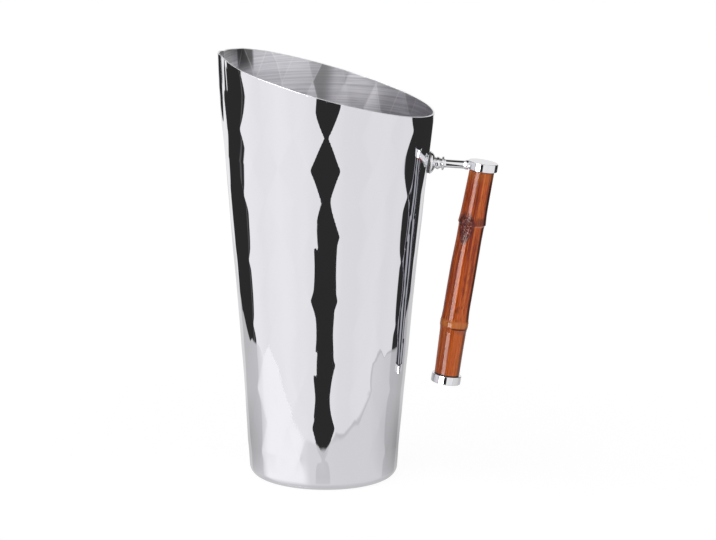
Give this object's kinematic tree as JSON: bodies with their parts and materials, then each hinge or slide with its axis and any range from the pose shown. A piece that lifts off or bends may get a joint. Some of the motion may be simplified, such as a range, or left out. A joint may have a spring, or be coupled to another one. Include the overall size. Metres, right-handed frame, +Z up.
{
  "type": "stainless steel jug",
  "caption": "Tall tapered jug of polished steel with a diamond-faceted wall, a slanted spout-side rim and a bamboo grip hung on one turned arm.",
  "frame": {"origin": "centre of the underside, on the body's axis", "axes": "+Z up, +X toward the grip, -X toward the spout"},
  "size_m": [0.1741, 0.1354, 0.2669],
  "materials": {
    "polished_steel": "mirror polished outside, brushed inside",
    "chrome_fittings": "mirror polished",
    "plain_steel": "plain turned",
    "bamboo": "reddish brown stain under gloss varnish",
    "plug_wood": "raw",
    "gasket_rubber": "matte",
    "brown_shim": "matte",
    "black_shim": "matte"
  },
  "bodies": {
    "root": {"body_wall": "polished_steel", "base_pan": "polished_steel", "wall_gasket": "gasket_rubber", "rosette": "chrome_fittings", "neck_collar": "chrome_fittings", "arm_rod": "chrome_fittings", "inner_gasket": "gasket_rubber", "inner_washer": "plain_steel", "lock_washer": "plain_steel", "dome_nut": "chrome_fittings", "top_cap": "chrome_fittings", "top_shim": "brown_shim", "bamboo_grip": "bamboo", "bottom_shim": "black_shim", "bottom_cap": "chrome_fittings", "tie_rod": "plain_steel", "top_plug": "plug_wood", "bottom_plug": "plug_wood"}
  },
  "joints": []
}
